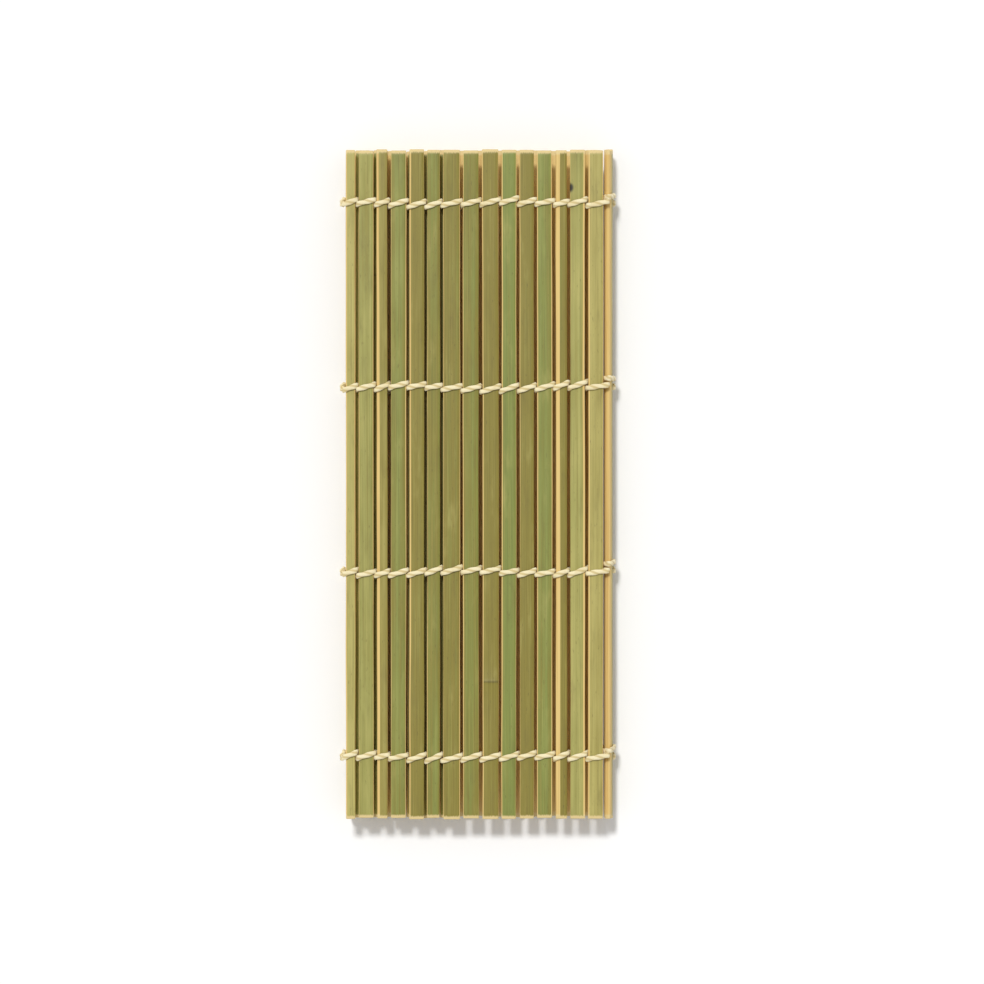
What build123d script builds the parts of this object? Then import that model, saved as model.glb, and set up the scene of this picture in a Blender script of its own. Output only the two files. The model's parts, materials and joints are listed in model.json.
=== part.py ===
"""Sushi rolling mat, folded flat for storage.

Bamboo slats lie side by side and four rows of cotton cord hold them. Each row is two
strands that pass over and under the slats in turn and cross in every gap, so each gap
is a hinge. The mat is folded like a flattened roll: the front panel lies on top with
its green skin up, the back panel lies under it with its skin down, and the short inner
panel is tucked between them.
"""
from build123d import *
import math
import os

# Slats
SLAT_LENGTH = 210.0
SLAT_WIDTH = 4.4
SLAT_EDGE = 0.7
SLAT_BELLY = 1.5
SKIN_ROUND = 0.25
HINGE_DEPTH = 1.1
SLAT_GAP = 1.0
FOLD_GAP = 1.8

# Cord
CORD_THICKNESS = 0.8
CORD_WIDTH = 0.9
CORD_CLEARANCE = 0.1
CORD_BEND = 0.65
CORD_SPREAD = 1.0
CORD_ROWS = 4
FAR_MARGIN = 16.5
NEAR_MARGIN = 19.5

# Knots at the two side edges
KNOT_DIAMETER = 1.9
KNOT_LENGTH = 2.6
KNOT_CLEARANCE = 0.05
KNOT_STANDOFF = 0.15

# How many slats each stretch of the mat has, from the outer edge to the tucked-in edge
FRONT_SLATS = 15
OUTER_FOLD_SLATS = 2
BACK_SLATS = 14
INNER_FOLD_SLATS = 1
INNER_SLATS = 6

# Fold angles of the stored mat, in degrees, at the hinges of the two folds
OUTER_FOLD_ANGLES = (75.0, 30.0, 75.0)
INNER_FOLD_ANGLES = (90.0, 90.0)

# Slats are split by hand, so their widths differ: shares of SLAT_WIDTH
FRONT_WIDTH_SHARES = (
    0.67, 1.06, 0.77, 1.09, 1.06, 0.92, 1.20, 1.13, 1.16, 1.06, 1.02, 1.09, 0.81, 1.06, 1.06,
)
HIDDEN_WIDTH_SHARES = (
    0.95, 0.95,
    1.22, 1.20, 1.12, 1.12, 1.00, 0.98, 1.10, 1.08, 1.08, 0.90, 1.00, 1.14, 0.78, 1.04,
    0.94,
    1.08, 1.02, 0.88, 0.95, 0.95, 1.06,
)

SLAT_COUNT = FRONT_SLATS + OUTER_FOLD_SLATS + BACK_SLATS + INNER_FOLD_SLATS + INNER_SLATS
ROOT = FRONT_SLATS


def slat_width(number):
    """Width of slat 1, 2, 3 ... counted from the outer edge of the front panel."""
    if number <= len(FRONT_WIDTH_SHARES):
        return SLAT_WIDTH * FRONT_WIDTH_SHARES[number - 1]
    place = (number - len(FRONT_WIDTH_SHARES) - 1) % len(HIDDEN_WIDTH_SHARES)
    return SLAT_WIDTH * HIDDEN_WIDTH_SHARES[place]


def fold_angles():
    """Turn at each hinge of the stored mat, keyed by the slat before the hinge."""
    outer = {FRONT_SLATS + k: angle for k, angle in enumerate(OUTER_FOLD_ANGLES)}
    first_inner = FRONT_SLATS + OUTER_FOLD_SLATS + BACK_SLATS
    inner = {first_inner + k: angle for k, angle in enumerate(INNER_FOLD_ANGLES)}
    return {**outer, **inner}


FOLDS = fold_angles()
SHARP_FOLD = max(OUTER_FOLD_ANGLES + INNER_FOLD_ANGLES) / 2


def gap_after(number):
    """Gap between a slat and the next one, wider where the mat folds sharply."""
    return FOLD_GAP if FOLDS.get(number, 0) > SHARP_FOLD else SLAT_GAP


def along(angle, distance):
    """Step of a length at an angle in degrees, in the plane across the slats."""
    turn = math.radians(angle)
    return Vector(distance * math.cos(turn), 0, distance * math.sin(turn))


def lay_out():
    """Direction of each slat, its middle, and each hinge's place, from the folded shape."""
    direction = {1: 0.0}
    for number in range(1, SLAT_COUNT):
        direction[number + 1] = direction[number] - FOLDS.get(number, 0)
    middle, hinge = {}, {}
    point = Vector(0, 0, 0)
    for number in range(1, SLAT_COUNT + 1):
        lead = gap_after(number - 1) / 2 if number > 1 else 0
        middle[number] = point + along(direction[number], lead + slat_width(number) / 2)
        tail = gap_after(number) / 2 if number < SLAT_COUNT else 0
        point = point + along(direction[number], lead + slat_width(number) + tail)
        hinge[number] = point
    # The back panel lies on its cords, which stand on z = 0
    back = middle[FRONT_SLATS + OUTER_FOLD_SLATS + 1]
    cords_under = HINGE_DEPTH + CORD_CLEARANCE + CORD_THICKNESS
    # The bundle is centred between its free edge knots and the outside of the fold
    knot_edge = -KNOT_STANDOFF - KNOT_DIAMETER
    middle_fold = FRONT_SLATS + 1
    half_turn = math.radians(FOLDS[middle_fold] / 2)
    spread = 1 / math.cos(half_turn)
    corner = hinge[middle_fold].X + (cords_under - CORD_THICKNESS / 2) * spread
    fold_edge = corner - CORD_BEND * (math.tan(half_turn) + spread - 1) + CORD_THICKNESS / 2
    lift = Vector(-(knot_edge + fold_edge) / 2, 0, cords_under - back.Z)
    for number in middle:
        middle[number] = middle[number] + lift
        hinge[number] = hinge[number] + lift
    return direction, middle, hinge


DIRECTION, MIDDLE, HINGE = lay_out()
SKIN_SIDE, BELLY_SIDE = 1, -1
BELLY_DEPTH = SLAT_EDGE + SLAT_BELLY - HINGE_DEPTH


def slat_section(width):
    """Outline of a slat: flat skin on top, short straight edges, rounded belly below."""
    half = width / 2
    shoulder = HINGE_DEPTH - SLAT_EDGE
    skin = HINGE_DEPTH
    top = Line((-half + SKIN_ROUND, skin), (half - SKIN_ROUND, skin))
    right_round = RadiusArc((half - SKIN_ROUND, skin), (half, skin - SKIN_ROUND), SKIN_ROUND)
    right_edge = Line((half, skin - SKIN_ROUND), (half, shoulder))
    belly = EllipticalCenterArc((0, shoulder), half, SLAT_BELLY, start_angle=180, arc_size=180)
    left_edge = Line((-half, shoulder), (-half, skin - SKIN_ROUND))
    left_round = RadiusArc((-half, skin - SKIN_ROUND), (-half + SKIN_ROUND, skin), SKIN_ROUND)
    return make_face([top, right_round, right_edge, belly, left_edge, left_round])


def slat(number):
    """One bamboo slat, laid in its place in the folded mat."""
    place = Plane(
        origin=MIDDLE[number] + Vector(0, SLAT_LENGTH / 2, 0),
        x_dir=along(DIRECTION[number], 1),
        z_dir=(0, -1, 0),
    )
    return extrude(place * slat_section(slat_width(number)), amount=SLAT_LENGTH, dir=(0, -1, 0))


def row_place(row):
    """Place of a cord row along the slats, rows counted from 1 at the far end."""
    pitch = (SLAT_LENGTH - FAR_MARGIN - NEAR_MARGIN) / (CORD_ROWS - 1)
    return SLAT_LENGTH / 2 - FAR_MARGIN - (row - 1) * pitch


def edge_point(number):
    """Centre of the knot beside the first or the last slat."""
    outward = -1 if number == 1 else 1
    reach = slat_width(number) / 2 + KNOT_STANDOFF + KNOT_DIAMETER / 2
    return MIDDLE[number] + along(DIRECTION[number], outward * reach)


def stand_off(side):
    """Distance from the hinge line to a strand's centre on the skin or the belly side."""
    depth = HINGE_DEPTH if side == SKIN_SIDE else BELLY_DEPTH
    return depth + CORD_CLEARANCE + CORD_THICKNESS / 2


def gap_points(number, side):
    """Corner of a strand before and after it passes through the gap behind a slat."""
    half_turn = FOLDS.get(number, 0) / 2
    up = along(DIRECTION[number] - half_turn + 90, 1 / math.cos(math.radians(half_turn)))
    before = HINGE[number] + up * (side * stand_off(side))
    after = HINGE[number] - up * (side * stand_off(-side))
    return [before, after]


def edge_end(number, side):
    """Corner of a strand over the slat's side edge, and its end, tangent to the edge knot."""
    outward = along(DIRECTION[number], -1 if number == 1 else 1)
    up = along(DIRECTION[number] + 90, side)
    run, rise = KNOT_STANDOFF + KNOT_DIAMETER / 2, stand_off(side)
    reach = KNOT_DIAMETER / 2 + KNOT_CLEARANCE + CORD_THICKNESS / 2
    length = math.sqrt(run**2 + rise**2 - reach**2)
    drop = math.atan2(rise, run) - math.asin(reach / math.hypot(run, rise))
    corner = MIDDLE[number] + outward * (slat_width(number) / 2) + up * rise
    return [corner, corner + outward * (length * math.cos(drop)) - up * (length * math.sin(drop))]


def strand_route(first_side):
    """Corners of one strand: over one slat, under the next, from edge knot to edge knot."""
    side = first_side
    corner, end = edge_end(1, side)
    route = [end, corner]
    for number in range(1, SLAT_COUNT):
        route += gap_points(number, side)
        side = -side
    return route + edge_end(SLAT_COUNT, side)


def strand(row, first_side):
    """One strand of a cord row: a flattened cord in its own lane beside its twin."""
    path = FilletPolyline(*strand_route(first_side), radius=CORD_BEND)
    outline = make_face(offset(path, amount=CORD_THICKNESS / 2, side=Side.BOTH).edges())
    lane = row_place(row) + first_side * CORD_SPREAD / 2 - CORD_WIDTH / 2
    if row == 1:
        share = outline.area / (path.length * CORD_THICKNESS)
        print(f"strand {path.length:.0f} mm long, area share {share:.3f}, least bend {CORD_BEND} mm")
    return Pos(0, lane, 0) * extrude(outline, amount=CORD_WIDTH, dir=(0, 1, 0))


def edge_knots(number):
    """The four knots that tie off the cord rows beside the first or the last slat."""
    knots = []
    for row in range(1, CORD_ROWS + 1):
        centre = edge_point(number) + Vector(0, row_place(row), 0)
        place = Plane(origin=centre, x_dir=(1, 0, 0), z_dir=(0, 1, 0))
        barrel = Cylinder(KNOT_DIAMETER / 2, KNOT_LENGTH)
        barrel = fillet(barrel.edges().filter_by(GeomType.CIRCLE), KNOT_DIAMETER / 4)
        knots.append(place * barrel)
    return Compound(children=knots)


def build():
    """Every sub-part by its node name."""
    nodes = {f"slat_{number:02d}": slat(number) for number in range(1, SLAT_COUNT + 1)}
    for row in range(1, CORD_ROWS + 1):
        nodes[f"cord_{row}_first_strand"] = strand(row, SKIN_SIDE)
        nodes[f"cord_{row}_second_strand"] = strand(row, BELLY_SIDE)
    nodes["outer_edge_knots"] = edge_knots(1)
    nodes["inner_edge_knots"] = edge_knots(SLAT_COUNT)
    return nodes


os.makedirs("parts", exist_ok=True)
PARTS = build()
for name, shape in PARTS.items():
    export_step(shape, f"parts/{name}.step")
box = Compound(children=[shape for shape in PARTS.values()]).bounding_box()
print("box", box.min, box.max)
open_size = slat_width(SLAT_COUNT) + sum(slat_width(n) + gap_after(n) for n in range(1, SLAT_COUNT))
print("open mat", round(open_size, 1))
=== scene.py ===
# %% [markdown]
# # A sushi rolling mat, folded for its shelf
# Thin bamboo slats lie side by side and four rows of cotton cord hold them. We load the
# measured model as a fixed frame first, so that every slat and stitch that we shape here
# has a place to go to, and nothing needs fitting afterwards.

# %% Load the frame
import json
import math
import random

import bmesh
import bpy
from mathutils import Matrix, Vector, noise

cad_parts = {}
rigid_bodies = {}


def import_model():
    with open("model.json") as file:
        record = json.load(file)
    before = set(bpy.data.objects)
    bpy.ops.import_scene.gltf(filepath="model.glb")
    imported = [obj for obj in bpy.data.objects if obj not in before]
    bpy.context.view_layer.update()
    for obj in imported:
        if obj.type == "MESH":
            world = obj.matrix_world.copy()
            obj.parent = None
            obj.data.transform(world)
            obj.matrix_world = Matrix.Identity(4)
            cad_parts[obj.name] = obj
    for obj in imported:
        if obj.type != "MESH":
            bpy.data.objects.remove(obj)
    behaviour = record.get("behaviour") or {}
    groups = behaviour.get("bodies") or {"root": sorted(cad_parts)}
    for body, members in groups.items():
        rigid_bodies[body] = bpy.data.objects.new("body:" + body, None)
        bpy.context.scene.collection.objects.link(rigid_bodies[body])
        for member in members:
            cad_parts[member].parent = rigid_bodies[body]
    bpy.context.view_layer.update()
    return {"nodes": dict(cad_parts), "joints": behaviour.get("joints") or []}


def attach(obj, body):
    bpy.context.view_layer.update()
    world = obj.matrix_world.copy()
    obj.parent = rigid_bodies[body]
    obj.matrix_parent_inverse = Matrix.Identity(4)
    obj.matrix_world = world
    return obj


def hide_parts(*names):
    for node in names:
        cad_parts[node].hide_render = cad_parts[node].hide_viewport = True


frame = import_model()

MM = 0.001

# %% [markdown]
# ## Where the slats lie
# Each gap between two slats is a hinge, so the hinge lines tell which way every slat
# points. A slat gets its own directions: across it, along it, and up out of its green
# skin. Working in these directions lets one recipe serve a slat in any layer of the fold.

# %% Hinges and slat places
ACROSS = Vector((1, 0, 0))
ALONG = Vector((0, 1, 0))


def slat_number(name):
    return int(name.rsplit("_", 1)[1])


# A hinge has the number of the slat before it
HINGES = {
    min(slat_number(j["parent"]), slat_number(j["child"])): Vector(j["pos_m"])
    for j in frame["joints"]
}
SLAT_COUNT = len(HINGES) + 1


def extent(points, direction):
    """The least and the greatest reach of some points in a direction."""
    reach = [p.dot(direction) for p in points]
    return min(reach), max(reach)


class Place:
    """Where a slat lies: its number, its directions and its size."""

    def __init__(self, number):
        self.number = number
        before, after = HINGES.get(number - 1), HINGES.get(number)
        # The slats at the two edges of the mat lie level
        self.across = (after - before).normalized() if before and after else ACROSS
        self.up = self.across.cross(ALONG)
        points = [v.co for v in frame["nodes"][f"slat_{number:02d}"].data.vertices]
        low, high = extent(points, self.across)
        self.half_width, middle = (high - low) / 2, (high + low) / 2
        back, front = extent(points, ALONG)
        self.length = front - back
        level = (before or after).dot(self.up)
        self.belly, self.skin = (edge - level for edge in extent(points, self.up))
        self.origin = self.across * middle + self.up * level
        axes = Matrix((self.across, ALONG, self.up)).transposed().to_4x4()
        self.matrix = Matrix.Translation(self.origin) @ axes

    def hinge_reach(self, number):
        """Distance across the slat from its middle to a hinge line."""
        return (HINGES[number] - self.origin).dot(self.across)


PLACES = {number: Place(number) for number in range(1, SLAT_COUNT + 1)}
SLAT_LENGTH = PLACES[1].length
print(SLAT_COUNT, "slats,", round(SLAT_LENGTH / MM), "mm long,",
      round(2 * PLACES[1].half_width / MM, 2), "mm wide at the edge")

# %% [markdown]
# ## The camera
# The photograph looks straight at the front panel, so the camera hangs straight above
# the mat. Its height is large for a flat view, and its lens is set from the real size
# that the picture's frame covers.

# %% Camera
PHOTO_PIXELS = 984
MM_PER_PIXEL = 0.314
PANEL_LEFT_PIXEL = 346
SLAT_TOP_PIXEL = 150
CAMERA_HEIGHT = 1.6
SENSOR_WIDTH = 36


def make_camera():
    front = PLACES[1]
    centre = PHOTO_PIXELS / 2
    left_edge = front.origin.x - front.half_width
    target_x = left_edge + (centre - PANEL_LEFT_PIXEL) * MM_PER_PIXEL * MM
    target_y = SLAT_LENGTH / 2 - (centre - SLAT_TOP_PIXEL) * MM_PER_PIXEL * MM
    data = bpy.data.cameras.new("photo_camera")
    data.sensor_width = SENSOR_WIDTH
    data.lens = SENSOR_WIDTH * CAMERA_HEIGHT / (PHOTO_PIXELS * MM_PER_PIXEL * MM)
    camera = bpy.data.objects.new("photo_camera", data)
    skin_height = front.origin.z + front.skin
    camera.location = (target_x, target_y, skin_height + CAMERA_HEIGHT)
    bpy.context.scene.collection.objects.link(camera)
    bpy.context.scene.camera = camera
    print("camera over", [round(c / MM, 1) for c in camera.location], "mm")


make_camera()

# %% [markdown]
# ## Shader maths as plain sums
# A finish such as bamboo is many small sums: a streak times a colour, less a stain. The
# class below wraps a socket, so that those sums are written as Python and each one adds
# its Math node.

# %% Shader helpers


def srgb(red, green, blue):
    """A colour as the eye reads it in a picture, turned into the light that shaders mix."""
    def linear(c):
        c /= 255
        return c / 12.92 if c <= 0.04045 else ((c + 0.055) / 1.055) ** 2.4
    return (linear(red), linear(green), linear(blue), 1.0)


class Wire:
    """A socket's value on its way through a shader."""

    def __init__(self, shader, socket):
        self.shader, self.socket = shader, socket

    def __add__(self, other):
        return self.shader.math("ADD", self, other)

    def __sub__(self, other):
        return self.shader.math("SUBTRACT", self, other)

    def __rsub__(self, other):
        return self.shader.math("SUBTRACT", other, self)

    def __mul__(self, other):
        return self.shader.math("MULTIPLY", self, other)

    def __abs__(self):
        return self.shader.math("ABSOLUTE", self)

    __radd__, __rmul__ = __add__, __mul__


class Shader:
    """A material whose nodes come from one method."""

    def __init__(self, name):
        self.material = bpy.data.materials.new(name)
        self.material.use_nodes = True
        self.tree = self.material.node_tree
        self.surface = self.tree.nodes["Principled BSDF"]

    def node(self, kind, settings=None, inputs=None, output=0):
        """Adds a node, sets it up, feeds its sockets, and gives back one output."""
        node = self.tree.nodes.new(kind)
        for key, value in (settings or {}).items():
            setattr(node, key, value)
        for key, value in (inputs or {}).items():
            self.feed(node.inputs[key], value)
        return Wire(self, node.outputs[output])

    def feed(self, socket, value):
        """Links a wire to a socket, or sets the socket to a plain value."""
        if isinstance(value, Wire):
            self.tree.links.new(value.socket, socket)
        else:
            socket.default_value = value

    def math(self, operation, first, second=0.0):
        return self.node("ShaderNodeMath", {"operation": operation}, {0: first, 1: second})

    def attribute(self, name, output="Fac"):
        return self.node("ShaderNodeAttribute", {"attribute_name": name}, output=output)

    def parts(self, vector):
        """The three numbers of a vector."""
        node = self.tree.nodes.new("ShaderNodeSeparateXYZ")
        self.feed(node.inputs[0], vector)
        return [Wire(self, socket) for socket in node.outputs]

    def stretch(self, vector, scale):
        return self.node("ShaderNodeVectorMath", {"operation": "MULTIPLY"}, {0: vector, 1: scale})

    def distance(self, first, second):
        points = {0: first, 1: second}
        return self.node("ShaderNodeVectorMath", {"operation": "DISTANCE"}, points, "Value")

    def grain(self, vector, scale, detail=2.0, roughness=0.5):
        """Noise on a vector that was scaled by its own amount each way, from 0 to 1."""
        settings = {"noise_dimensions": "3D"}
        values = {"Vector": self.stretch(vector, scale), "Scale": 1.0,
                  "Detail": detail, "Roughness": roughness}
        return self.node("ShaderNodeTexNoise", settings, values)

    def rise(self, value, low, high, bottom=0.0, top=1.0):
        """A smooth step from bottom to top while the value goes from low to high."""
        values = {"Value": value, "From Min": low, "From Max": high, "To Min": bottom, "To Max": top}
        return self.node("ShaderNodeMapRange", {"interpolation_type": "SMOOTHSTEP"}, values)

    def mix(self, share, first, second):
        settings = {"data_type": "RGBA", "blend_type": "MIX", "clamp_factor": True}
        return self.node("ShaderNodeMix", settings, {0: share, 6: first, 7: second}, output=2)

    def bump(self, height, distance, strength):
        values = {"Height": height, "Distance": distance, "Strength": strength}
        return self.node("ShaderNodeBump", {}, values)

    def finish(self, **sockets):
        """Feeds the surface's sockets, whose names have _ for a space."""
        for key, value in sockets.items():
            self.feed(self.surface.inputs[key.replace("_", " ")], value)
        print(self.material.name, "has", len(self.tree.nodes), "nodes")
        return self.material


# %% [markdown]
# ## Bamboo
# A slat is split from a green stem. Its flat face keeps the skin, which is olive to green,
# waxy, and streaked along the slat. Its edges and rounded side are bare wood, pale yellow
# with fine fibres, and its sawn ends show the fibres as dark dots. Each slat carries its
# own coordinates and look as attributes, so the streaks follow it through every fold.

# %% Bamboo colours and sizes
OLIVE = srgb(133, 121, 40)
GREEN = srgb(125, 135, 56)
SUNNED = srgb(190, 178, 102)
STREAK = srgb(98, 85, 30)
BARE = srgb(224, 194, 122)
FIBRE = srgb(186, 142, 74)
PITH = srgb(226, 205, 152)
SAWN = srgb(232, 212, 158)
KNUCKLE_STAIN = srgb(60, 52, 16)
SCAR_STAIN = srgb(26, 23, 2)

# Noise scales per metre: across the slat, along it, and through it
FINE_SCALE = (5200, 26, 5200)
BROAD_SCALE = (1100, 8, 1100)
CLOUD_SCALE = (190, 30, 190)
FLECK_SCALE = (2600, 420, 2600)
PATCH_SCALE = (260, 55, 260)
DOT_SCALE = (3600, 60, 3600)

# How far apart the slats' own stretches of the noise lie, in metres
SLAT_APART = 0.613
SKIN_DEPTH = 0.12 * MM
SKIN_RIM_DEPTH = 1.6 * SKIN_DEPTH
PITH_START = -0.2 * MM
PITH_END = -1.1 * MM
RAGGED_EDGE = 0.6 * MM
EDGE_BLEND_OUT = 0.05 * MM
EDGE_BLEND_IN = 0.11 * MM
FIBRE_RELIEF = 0.07 * MM
SCAR_CORE = 0.35
SCAR_RAGGED = 0.8 * MM
SCAR_STRETCH = Vector((1.0, 0.62, 1.0))
# Slat, place across it and along it, and size, in mm
SCARS = ((14, -2.15, 93.2, 1.2), (27, 0.8, 50.0, 0.8), (35, 0.2, -70.0, 0.8))


def grain_place(number, across, along, up):
    """A point's own coordinates on its slat. Each slat has its own stretch of the grain."""
    return Vector((across, along + number * SLAT_APART, up))


# %% Bamboo finish
class Bamboo(Shader):
    """The finish of a slat, mixed from noises on the slat's own coordinates."""

    def __init__(self, skin_height):
        super().__init__("split_bamboo")
        self.skin_height = skin_height
        self.skin_floor = skin_height - SKIN_DEPTH
        self.place = self.attribute("grain", "Vector")
        self.across, _, self.up = self.parts(self.place)
        self.tip = self.attribute("tip")
        self.fine = self.grain(self.place, FINE_SCALE, 3.0, 0.62)
        self.broad = self.grain(self.place, BROAD_SCALE)

    def skin(self):
        """Green to olive skin with sunned shares, streaks, flecks and stained knuckles."""
        fine, broad = self.fine, self.broad
        cloud = self.grain(self.place, CLOUD_SCALE, 3.0, 0.6)
        fleck = self.grain(self.place, FLECK_SCALE, 2.0, 0.6)
        patch = self.grain(self.place, PATCH_SCALE, 3.0, 0.65)
        green = self.attribute("green") + (broad - 0.5) * 1.1 + (cloud - 0.5) * 0.8
        sun = self.attribute("sun") + (cloud - 0.5) * 0.7 + (broad - 0.5) * 0.5
        stain = self.attribute("knuckle") + (fine - 0.5) * 0.5
        skin = self.mix(self.rise(green, 0.1, 0.9), OLIVE, GREEN)
        skin = self.mix(self.rise(sun, 0.3, 1.3), skin, SUNNED)
        skin = self.mix(self.rise(patch, 0.5, 0.78, 0.0, 0.32), skin, STREAK)
        skin = self.mix(self.rise(patch, 0.46, 0.2, 0.0, 0.3), skin, SUNNED)
        skin = self.mix(self.rise(fine, 0.5, 0.76, 0.0, 0.5), skin, STREAK)
        skin = self.mix(self.rise(fine, 0.46, 0.28, 0.0, 0.34), skin, SUNNED)
        skin = self.mix(self.rise(fleck, 0.64, 0.74, 0.0, 0.5), skin, STREAK)
        return self.mix(self.rise(stain, 0.45, 0.95, 0.0, 0.5), skin, KNUCKLE_STAIN)

    def wood(self):
        """Bare wood with darker fibres, paler deep in the belly and at the tips."""
        wood = self.mix(self.rise(self.fine, 0.5, 0.7, 0.0, 0.55), BARE, FIBRE)
        wood = self.mix(self.rise(self.up, PITH_START, PITH_END, 0.0, 0.25), wood, PITH)
        wood = self.mix(self.rise(self.broad, 0.5, 0.8, 0.0, 0.5), wood, FIBRE)
        return self.mix(self.rise(self.tip, 0.0, 0.4, 0.0, 0.7), wood, PITH)

    def skin_share(self):
        """1 on the skin, 0 on bare wood, with ragged borders at both sides and the tips."""
        ragged = (self.broad - 0.5) * RAGGED_EDGE
        left, right = self.attribute("bare_left"), self.attribute("bare_right")
        on_top = self.rise(self.up + ragged * 0.2, self.skin_floor - SKIN_DEPTH, self.skin_floor)
        past_left = self.rise(self.across + ragged, left - EDGE_BLEND_OUT, left + EDGE_BLEND_IN)
        past_right = self.rise(self.across - ragged, right + EDGE_BLEND_OUT, right - EDGE_BLEND_IN)
        before_tip = 1 - self.rise(self.tip + (self.fine - 0.5) * 0.7, 0.25, 0.65)
        return on_top * past_left * past_right * before_tip

    def scarred(self, colour):
        """Adds the small dark scars, a little longer along the slat than across it."""
        squeezed = self.stretch(self.place, SCAR_STRETCH)
        for number, across, along, size in SCARS:
            centre = grain_place(number, across * MM, along * MM, self.skin_height) * SCAR_STRETCH
            far = self.distance(squeezed, centre) + (self.fine - 0.5) * SCAR_RAGGED
            colour = self.mix(self.rise(far, size * MM, size * MM * SCAR_CORE), colour, SCAR_STAIN)
        return colour

    def sawn_ends(self, colour):
        """Adds the sawn ends: pale wood, fibres as dark dots, and a rim of skin."""
        dots = self.grain(self.place, DOT_SCALE, 1.0)
        sawn = self.mix(self.rise(dots, 0.56, 0.68, 0.0, 0.75), SAWN, FIBRE)
        rim = self.rise(self.up, self.skin_height - SKIN_RIM_DEPTH, self.skin_floor, 0.0, 0.7)
        sawn = self.mix(rim, sawn, OLIVE)
        normal = self.node("ShaderNodeTexCoord", output="Normal")
        return self.mix(self.rise(abs(self.parts(normal)[1]), 0.6, 0.8), colour, sawn)

    def make(self):
        is_skin = self.skin_share()
        colour = self.mix(is_skin, self.wood(), self.skin())
        colour = self.sawn_ends(self.scarred(colour))
        roughness = self.rise(is_skin, 0.0, 1.0, 0.78, 0.44) + (self.fine - 0.5) * 0.16
        normal = self.bump(self.fine * 0.6 + self.broad * 0.4, FIBRE_RELIEF, 0.55)
        return self.finish(Base_Color=colour, Roughness=roughness, Normal=normal)


BAMBOO = Bamboo(PLACES[1].skin).make()

# %% [markdown]
# ## How each slat looks
# Someone sorts the slats only roughly, so olive ones lie beside green ones, and some show
# a strip of bare wood where the skin ends short of the edge. The looks of the slats that
# show are listed one by one, and the others are drawn from a seeded lottery, so they are
# always the same.

# %% Slat looks
# Slats 1 to 16: green share, sunned share, and widths of the bare strips at both sides in mm
CHOSEN_LOOKS = (
    (0.45, 0.98, 0.30, 0.10), (0.62, 0.72, 0.05, 0.10), (0.10, 0.62, 0.85, 0.00),
    (0.55, 0.42, 0.10, 0.20), (0.08, 0.35, 0.50, 0.00), (0.42, 0.30, 0.15, 0.05),
    (0.22, 0.28, 0.12, 0.15), (0.45, 0.28, 0.22, 0.00), (0.05, 0.25, 0.30, 0.05),
    (0.82, 0.30, 0.30, 0.10), (0.10, 0.30, 0.12, 0.00), (0.70, 0.42, 0.30, 0.25),
    (0.15, -0.20, 1.35, 0.00), (0.68, 0.82, 0.10, 0.55), (0.25, 0.88, 0.45, 0.10),
    (0.35, 0.80, 2.40, 0.30),
)
# What the lottery draws the same four values between
DRAWN_SPANS = ((0.1, 0.8), (0.2, 0.7), (0.0, 0.5), (0.0, 0.3))
LOOK_SEED = 900
# Place along the slat, in mm, of the knuckle on the slats that have one
KNUCKLES = {3: 31.0, 9: -62.0, 21: 12.0, 26: -40.0, 34: 66.0}


def slat_look(number):
    """Green share, sunned share, and the places where the skin starts and ends across."""
    if number <= len(CHOSEN_LOOKS):
        green, sun, left, right = CHOSEN_LOOKS[number - 1]
    else:
        lottery = random.Random(LOOK_SEED + number)
        green, sun, left, right = [lottery.uniform(*span) for span in DRAWN_SPANS]
    half = PLACES[number].half_width
    return {"green": green, "sun": sun, "bare_left": left * MM - half, "bare_right": half - right * MM}


print(len(CHOSEN_LOOKS), "looks are chosen,", SLAT_COUNT - len(CHOSEN_LOOKS), "are drawn")

# %% [markdown]
# ## Shaping a slat
# A split slat is never quite straight. We draw its cross-section, flat skin above and
# rounded belly below, pull it out along its length, cut it into short stretches, and then
# let slow noise bend, narrow and lift them a little. Bevelled ends take the saw's edge off.

# %% Slat outline
SKIN_ROUND = 0.28 * MM
ROUND_CUT = 0.3
EDGE_HEIGHT = 0.7 * MM
BELLY_POINTS = 9
SKIN_POINTS = (0.45, 0.0, -0.45)


def section_points(place):
    """The slat's outline from its left shoulder round the belly and back over the skin."""
    half, skin = place.half_width, place.skin
    shoulder = skin - EDGE_HEIGHT
    depth = shoulder - place.belly
    points = []
    for step in range(BELLY_POINTS + 1):
        turn = math.pi * (1 + step / BELLY_POINTS)
        points.append((half * math.cos(turn), shoulder + depth * math.sin(turn)))
    cut = SKIN_ROUND * ROUND_CUT
    points += [(half, skin - SKIN_ROUND), (half - cut, skin - cut), (half - SKIN_ROUND, skin)]
    points += [(half * share, skin) for share in SKIN_POINTS]
    points += [(SKIN_ROUND - half, skin), (cut - half, skin - cut), (-half, skin - SKIN_ROUND)]
    return points


print("a slat's outline has", len(section_points(PLACES[1])), "points")

# %% Slat mesh
STRETCHES = 34
TIP_LENGTH = 1.7 * MM
END_BEVEL = 0.28 * MM
KNUCKLE_REACH = 1.1 * MM
KNUCKLE_CUTS = (-1.0, -0.5, -0.2, 0.2, 0.5, 1.0)
SAME_PLACE = 1e-7


def cut_places(place):
    """Where the slat is cut into stretches, closer together at a knuckle and at the ends."""
    half = place.length / 2
    cuts = [-half + place.length * k / STRETCHES for k in range(1, STRETCHES)]
    cuts += [-half + TIP_LENGTH, half - TIP_LENGTH]
    if place.number in KNUCKLES:
        centre = KNUCKLES[place.number] * MM
        cuts += [centre + KNUCKLE_REACH * share for share in KNUCKLE_CUTS]
    return cuts


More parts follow.
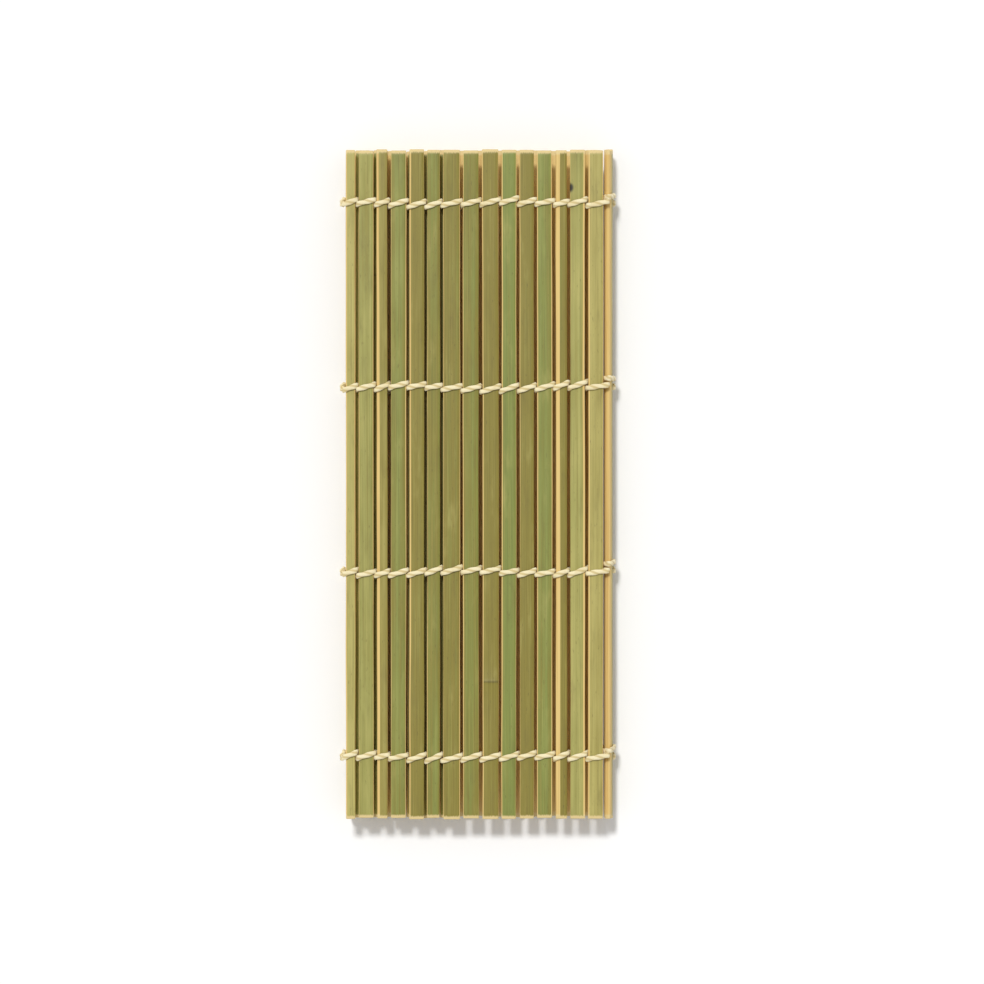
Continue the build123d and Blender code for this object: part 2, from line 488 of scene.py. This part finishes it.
def shape_slat(place):
    bm = bmesh.new()
    half = place.length / 2
    ring = [bm.verts.new((x, -half, z)) for x, z in section_points(place)]
    face = bm.faces.new(ring)
    pulled = bmesh.ops.extrude_face_region(bm, geom=[face])
    moved = [g for g in pulled["geom"] if isinstance(g, bmesh.types.BMVert)]
    bmesh.ops.translate(bm, verts=moved, vec=(0, place.length, 0))
    bmesh.ops.recalc_face_normals(bm, faces=bm.faces)
    for cut in cut_places(place):
        everything = bm.verts[:] + bm.edges[:] + bm.faces[:]
        bmesh.ops.bisect_plane(bm, geom=everything, plane_co=(0, cut, 0), plane_no=(0, 1, 0))
    rim = [e for e in bm.edges if all(abs(abs(v.co.y) - half) < SAME_PLACE for v in e.verts)]
    bmesh.ops.bevel(bm, geom=rim, offset=END_BEVEL, segments=2, profile=0.5,
                    affect="EDGES", material=-1)
    return bm


# %% Weather a slat
# How far a slat wanders, how fast along it, per metre, and which stretch of noise it takes
BOW = (0.16 * MM, 7.0, 1)
WIDTH_WANDER = (0.07 * MM, 40.0, 2)
SKIN_WANDER = (0.04 * MM, 60.0, 3)
NOISE_SWELL = 1.6
NOISE_SLATS_APART = 7.31
NOISE_STRETCHES_APART = 3.7
KNUCKLE_HEIGHT = 0.10 * MM
# Far past the slat's end, for a slat without a knuckle
NO_KNUCKLE = 1000
END_SEED = 50
END_STAGGER = (-0.20 * MM, 0.30 * MM)
END_STAGGER_REACH = 12 * MM
# The back panel's slats stand a little proud of the front panel's at the far end
BACK_PROUD = 0.5 * MM


def drift(kind, number, along):
    """A slow wander to both sides along a slat, different for each slat and each kind."""
    size, speed, stretch = kind
    spot = Vector((along * speed, number * NOISE_SLATS_APART, stretch * NOISE_STRETCHES_APART))
    return size * (noise.noise(spot) * NOISE_SWELL)


def end_shifts(place):
    """How far the near and the far end stand proud, by the sign of their side."""
    lottery = random.Random(END_SEED + place.number)
    ends = {side: lottery.uniform(*END_STAGGER) for side in (-1, 1)}
    if place.across.x < 0:
        ends[1] += BACK_PROUD
    return ends


def weather_slat(bm, place):
    """Stores each point's own coordinates and look, then lets the slat wander a little."""
    grain = bm.verts.layers.float_vector.new("grain")
    look = {bm.verts.layers.float.new(key): value for key, value in slat_look(place.number).items()}
    tip = bm.verts.layers.float.new("tip")
    knuckle = bm.verts.layers.float.new("knuckle")
    half, n = place.length / 2, place.number
    centre = KNUCKLES.get(n, NO_KNUCKLE) * MM
    ends = end_shifts(place)
    for v in bm.verts:
        x, y, z = v.co
        v[grain] = grain_place(n, x, y, z)
        for layer, value in look.items():
            v[layer] = value
        from_end = half - abs(y)
        v[tip] = max(0.0, 1 - from_end / TIP_LENGTH)
        v[knuckle] = max(0.0, 1 - abs(y - centre) / KNUCKLE_REACH)
        skin_share = max(0.0, z / place.skin)
        edge_share = x / place.half_width
        v.co.x += drift(BOW, n, y) + drift(WIDTH_WANDER, n, y) * edge_share
        v.co.y += ends[1 if y > 0 else -1] * max(0.0, 1 - from_end / END_STAGGER_REACH)
        v.co.z += drift(SKIN_WANDER, n, y) * skin_share
        v.co.z += KNUCKLE_HEIGHT * v[knuckle] * skin_share


# %% Make the slats
SLAT_CREASE = math.radians(38)


def make_piece(name, bm, material, body, replaced):
    """Turns a finished bmesh into a piece that rides on a body of the frame."""
    mesh = bpy.data.meshes.new(name)
    bm.to_mesh(mesh)
    bm.free()
    mesh.materials.append(material)
    piece = bpy.data.objects.new(name, mesh)
    bpy.context.scene.collection.objects.link(piece)
    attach(piece, body)
    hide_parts(*replaced)
    return piece


def smooth_below(bm, angle):
    """Smooths the shading except over edges that turn more than the angle."""
    for f in bm.faces:
        f.smooth = True
    for e in bm.edges:
        if len(e.link_faces) == 2 and e.calc_face_angle(0.0) > angle:
            e.smooth = False


def make_slats():
    for number, place in PLACES.items():
        bm = shape_slat(place)
        weather_slat(bm, place)
        smooth_below(bm, SLAT_CREASE)
        bmesh.ops.transform(bm, matrix=place.matrix, verts=bm.verts)
        node = f"slat_{number:02d}"
        piece = make_piece(f"bamboo_{node}", bm, BAMBOO, node, [node])
    print("the last slat has", len(piece.data.polygons), "faces")


make_slats()

# %% [markdown]
# ## Cotton cord
# The cord is cream cotton, two plies twisted together, with short fibres that catch the
# light. The twist is modelled in the mesh; the shader paints shade into the groove between
# the plies and adds the fibres.

# %% Cord finish
COTTON = srgb(243, 231, 190)
# The colour of the darker fibres, and also the painted shade laid into the groove between the plies
DARK_FIBRE_AND_PAINTED_SHADE = srgb(206, 184, 124)
COTTON_DUST = srgb(222, 202, 148)
COTTON_FIBRE_SCALE = (5200, 5200, 5200)
COTTON_DUST_SCALE = (260, 260, 260)
COTTON_RELIEF = 0.08 * MM
COTTON_SHEEN = 0.25


def cotton():
    s = Shader("twisted_cotton")
    coordinates = s.node("ShaderNodeTexCoord", output="Object")
    lay = s.attribute("lay")
    fibre = s.grain(coordinates, COTTON_FIBRE_SCALE, 3.0, 0.6)
    dust = s.grain(coordinates, COTTON_DUST_SCALE)
    colour = s.mix(s.rise(dust, 0.45, 0.7, 0.0, 0.5), COTTON, COTTON_DUST)
    colour = s.mix(s.rise(fibre, 0.5, 0.72, 0.0, 0.4), colour, DARK_FIBRE_AND_PAINTED_SHADE)
    # Painted shade: the groove between the plies, where lay is low, is darkened
    colour = s.mix(s.rise(lay, 0.55, 0.0, 0.0, 0.85), colour, DARK_FIBRE_AND_PAINTED_SHADE)
    normal = s.bump(fibre, COTTON_RELIEF, 0.6)
    return s.finish(Base_Color=colour, Roughness=0.9, Normal=normal, Sheen_Weight=COTTON_SHEEN)


COTTON_CORD = cotton()

# %% [markdown]
# ## A stretch of cord
# Every stretch of cord is the same thing: a flattened, twisted bundle that follows a
# smooth line. We round the corners of its route, then draw a ring of points and extrude
# it from place to place along the line, turning it as the plies turn.

# %% The line of a cord
BEND_STEPS = 5
BEND_SHARE = 0.49
LEAST_SPAN = 1e-9


def rounded(route, bend):
    """Points along a route whose corners are rounded by short parabolas."""
    line = [route[0]]
    for before, corner, after in zip(route, route[1:], route[2:]):
        into, out = (before - corner), (after - corner)
        start = corner + into.normalized() * min(bend, into.length * BEND_SHARE)
        end = corner + out.normalized() * min(bend, out.length * BEND_SHARE)
        for step in range(BEND_STEPS + 1):
            t = step / BEND_STEPS
            line.append(start * (1 - t) ** 2 + corner * 2 * t * (1 - t) + end * t ** 2)
    line.append(route[-1])
    return line


def evenly(line, step):
    """The same line with its points a steady step apart."""
    reach = [0.0]
    for a, b in zip(line, line[1:]):
        reach.append(reach[-1] + (b - a).length)
    count = max(2, round(reach[-1] / step))
    points, at = [], 0
    for k in range(count + 1):
        goal = reach[-1] * k / count
        while at < len(line) - 2 and reach[at + 1] < goal:
            at += 1
        span = max(reach[at + 1] - reach[at], LEAST_SPAN)
        points.append(line[at].lerp(line[at + 1], (goal - reach[at]) / span))
    return points


def heading(points, k, closed):
    """The way that a line points at one of its points. A closed line ends where it starts."""
    last = len(points) - 1
    if closed:
        ahead, behind = points[(k + 1) % last], points[k - 1 if k else -2]
    else:
        ahead, behind = points[min(k + 1, last)], points[max(k - 1, 0)]
    return (ahead - behind).normalized()


# %% Lay a cord
CORD_WIDTH = 1.78 * MM
CORD_THICKNESS = 0.92 * MM
PLY_PITCH = 3.8 * MM
PLY_DEPTH = 0.104
RING_POINTS = 14
RING_STEP = 0.36 * MM


def ring_edges(ring):
    """The edges that join a ring's points, each once and in a steady order."""
    found = set(ring)
    return list(dict.fromkeys(e for v in ring for e in v.link_edges if e.other_vert(v) in found))


def next_ring(bm, ring):
    """Extrudes a ring, and gives the new ring's points in the same order."""
    made = bmesh.ops.extrude_edge_only(bm, edges=ring_edges(ring))["geom"]
    fresh = {v for v in made if isinstance(v, bmesh.types.BMVert)}
    return [next(e.other_vert(v) for e in v.link_edges if e.other_vert(v) in fresh) for v in ring]


def lay_cord(bm, line, side, phase, width=CORD_WIDTH, thickness=CORD_THICKNESS, closed=False):
    """Extrudes a twisted ring of points along a line. The cord is wide towards side."""
    lay = bm.verts.layers.float.get("lay") or bm.verts.layers.float.new("lay")
    points = evenly(line, RING_STEP)
    start = bmesh.ops.create_circle(bm, cap_ends=False, segments=RING_POINTS, radius=width / 2)
    first_ring = ring = start["verts"]
    travelled = 0.0
    for k, point in enumerate(points):
        forward = heading(points, k, closed)
        wide = (side - forward * side.dot(forward)).normalized()
        thin = forward.cross(wide)
        if k:
            ring = next_ring(bm, ring)
            travelled += (point - points[k - 1]).length
        twist = phase + 2 * math.pi * travelled / PLY_PITCH
        for order, v in enumerate(ring):
            turn = 2 * math.pi * order / RING_POINTS
            # 1 on the back of a ply and -1 in the groove between the plies
            lobe = math.cos(2 * (turn - twist / 2))
            swell = 1 + PLY_DEPTH * (lobe - 1)
            v.co = point + wide * (math.cos(turn) * width / 2 * swell)
            v.co += thin * (math.sin(turn) * thickness / 2 * swell)
            # lay runs from 0 in the groove to 1 on the back of a ply; the cotton shader paints shade
            # where it is low
            v[lay] = (lobe + 1) / 2
    if closed:
        bmesh.ops.bridge_loops(bm, edges=ring_edges(ring) + ring_edges(first_ring))
    else:
        bm.faces.new(first_ring)
        bm.faces.new(ring)


# %% [markdown]
# ## Stitches
# Two strands make a row. On each slat one strand lies over the skin and the other under
# the belly, and in each gap they change places. We split the strands at the hinge lines,
# where they cross, so that each slat carries its own stitches: at every fold and roll the
# ends of neighbouring stitches stay on the line that both slats turn about.

# %% Cord rows
ROW_COUNT = 4
FAR_MARGIN = 16.5 * MM
NEAR_MARGIN = 19.5 * MM
ROW_PLACES = [
    SLAT_LENGTH / 2 - FAR_MARGIN - k * (SLAT_LENGTH - FAR_MARGIN - NEAR_MARGIN) / (ROW_COUNT - 1)
    for k in range(ROW_COUNT)
]
STRANDS = [
    f"cord_{row}_{which}_strand"
    for row in range(1, ROW_COUNT + 1)
    for which in ("first", "second")
]
print("cord rows at", [round(place / MM, 1) for place in ROW_PLACES], "mm")

# %% Stitch routes
STRAND_SHIFT = 0.85 * MM
SLACK = 0.03 * MM
STITCH_CROWN = 0.05 * MM
EDGE_REACH = 0.85 * MM
STRAY = 0.30
STRAY_GAP_SEED = 31
STRAY_ROW_SEED = 977
ROW_SWAY = 0.45
SWAY_SPEED = 0.62
SWAY_LOWEST = 5
SWAY_APART = 3.7
# How far the strand that dives and the one that rises slip along the slats in the gaps at
# the fold, in mm, by the slat before the gap
FOLD_SLIP = {
    14: (0.3, 0.3), 15: (-0.2, 3.2), 16: (2.2, 1.0), 17: (1.5, 1.5), 18: (0.9, 0.9), 19: (0.4, 0.4),
}


def half_fold(gap):
    """Half of the turn that the stored mat makes in a gap, in radians."""
    if gap not in HINGES:
        return 0.0
    return PLACES[gap].across.angle(PLACES[gap + 1].across, 0.0) / 2


def wander(gap, row, strand):
    """How far a strand strays along the slats where it passes through a gap.

    strand is 1 for the one that dives under the next slat and -1 for the one that rises.
    """
    lottery = random.Random(STRAY_GAP_SEED * gap + STRAY_ROW_SEED * row + strand)
    stray = lottery.uniform(-STRAY, STRAY)
    sway = -ROW_SWAY * math.cos(SWAY_SPEED * (gap - SWAY_LOWEST - SWAY_APART * row))
    dives, rises = FOLD_SLIP.get(gap, (0, 0))
    return (stray + sway + (dives if strand > 0 else rises)) * MM


def side_reach(place, gap, sign):
    """Distance across the slat to the hinge line in a gap, or to the edge knot."""
    if gap in HINGES:
        return place.hinge_reach(gap)
    return sign * (place.half_width + EDGE_REACH)


def stitch_route(place, row, over):
    """Corners of the stitch over the skin (over = 1) or under the belly (over = -1)."""
    lift = (place.skin if over > 0 else -place.belly) + SLACK + CORD_THICKNESS / 2
    ends = []
    for sign, gap in ((-1, place.number - 1), (1, place.number)):
        lean = math.tan(half_fold(gap)) * lift
        shift = over * sign * STRAND_SHIFT + wander(gap, row, over * sign)
        reach = side_reach(place, gap, sign)
        crossing = Vector((reach, shift, 0))
        corner = Vector((reach + over * sign * lean, shift, over * lift))
        ends.append((crossing, corner))
    (start, first), (end, last) = ends
    middle = (first + last) / 2 + Vector((0, 0, over * STITCH_CROWN))
    along = Vector((0, ROW_PLACES[row], 0))
    return [p + along for p in (start, first, middle, last, end)]


# %% Make the stitches
CORNER_BEND = 0.85 * MM
PHASE_SLAT_SEED = 13
PHASE_ROW_SEED = 5
STITCH_CREASE = math.radians(60)


def make_stitches():
    for number, place in PLACES.items():
        bm = bmesh.new()
        for row in range(ROW_COUNT):
            for over in (1, -1):
                line = rounded(stitch_route(place, row, over), CORNER_BEND)
                lottery = random.Random(number * PHASE_SLAT_SEED + row * PHASE_ROW_SEED + over)
                lay_cord(bm, line, ALONG, lottery.uniform(0, 2 * math.pi))
        bmesh.ops.recalc_face_normals(bm, faces=bm.faces)
        smooth_below(bm, STITCH_CREASE)
        bmesh.ops.transform(bm, matrix=place.matrix, verts=bm.verts)
        piece = make_piece(f"stitches_{number:02d}", bm, COTTON_CORD, f"slat_{number:02d}",
                           STRANDS)
    print("the last slat's stitches have", len(piece.data.polygons), "faces")


make_stitches()

# %% [markdown]
# ## Edge knots
# Beside the first and the last slat the two strands of a row are tied together. A knot is
# modelled as what it is: a short loop of the same cord that passes through itself, as in
# the trefoil curve, drawn tight against the slat's edge.

# %% Knots
KNOT_HALF_SIZE = Vector((0.50, 0.92, 0.52)) * MM
KNOT_CORD = 0.98 * MM
KNOT_POINTS = 48
KNOT_PHASE = 1.1
KNOT_CREASE = math.radians(70)


def trefoil(t):
    """A point of the trefoil curve, each part divided by about its greatest value."""
    return Vector((
        math.sin(3 * t),
        (math.sin(t) + 2 * math.sin(2 * t)) / 2.8,
        (math.cos(t) - 2 * math.cos(2 * t)) / 3,
    ))


def knot_line(centre):
    turns = [2 * math.pi * step / KNOT_POINTS for step in range(KNOT_POINTS + 1)]
    return [centre + trefoil(t) * KNOT_HALF_SIZE for t in turns]


def make_knots(number, node):
    place = PLACES[number]
    low, high = extent([v.co for v in frame["nodes"][node].data.vertices], place.across)
    reach = (low + high) / 2 - place.origin.dot(place.across)
    bm = bmesh.new()
    for row in range(ROW_COUNT):
        centre = Vector((reach, ROW_PLACES[row], 0))
        lay_cord(bm, knot_line(centre), ACROSS, row * KNOT_PHASE,
                 width=KNOT_CORD, thickness=KNOT_CORD, closed=True)
    bmesh.ops.recalc_face_normals(bm, faces=bm.faces)
    smooth_below(bm, KNOT_CREASE)
    bmesh.ops.transform(bm, matrix=place.matrix, verts=bm.verts)
    make_piece(f"{node}_cord", bm, COTTON_CORD, f"slat_{number:02d}", [node])
    print(node, "lie", round(reach / MM, 2), "mm across from the middle of slat", number)


make_knots(1, "outer_edge_knots")
make_knots(SLAT_COUNT, "inner_edge_knots")

# %% [markdown]
# ## Floor and light
# A near-white floor keeps the mat's soft shadow. One broad lamp from the upper left
# draws the shadow under each stitch, and an even sky fills the gaps.

# %% Studio
FLOOR_SIZE = 6.0
FLOOR_WHITE = (0.97, 0.97, 0.97, 1.0)
SKY_WHITE = (1, 1, 1, 1)
SKY_STRENGTH = 0.54
LAMP_STRENGTH = 1.90
LAMP_SOFTNESS = 9
LAMP_TILT = (-25, -10)


def make_floor():
    bm = bmesh.new()
    bmesh.ops.create_grid(bm, x_segments=1, y_segments=1, size=FLOOR_SIZE / 2)
    mesh = bpy.data.meshes.new("floor")
    bm.to_mesh(mesh)
    bm.free()
    mesh.materials.append(Shader("pale_floor").finish(Base_Color=FLOOR_WHITE, Roughness=0.9))
    floor = bpy.data.objects.new("floor", mesh)
    bpy.context.scene.collection.objects.link(floor)


def make_sky():
    world = bpy.data.worlds.new("even_sky")
    world.use_nodes = True
    sky = world.node_tree.nodes["Background"]
    sky.inputs["Color"].default_value = SKY_WHITE
    sky.inputs["Strength"].default_value = SKY_STRENGTH
    bpy.context.scene.world = world


def make_lamp():
    data = bpy.data.lights.new("window", "SUN")
    data.energy = LAMP_STRENGTH
    data.angle = math.radians(LAMP_SOFTNESS)
    lamp = bpy.data.objects.new("window", data)
    lamp.rotation_euler = [math.radians(tilt) for tilt in LAMP_TILT] + [0]
    bpy.context.scene.collection.objects.link(lamp)


make_floor()
make_sky()
make_lamp()
bpy.context.scene.view_settings.view_transform = "Standard"
print("floor", FLOOR_SIZE, "m wide, lamp tilted", LAMP_TILT, "degrees")
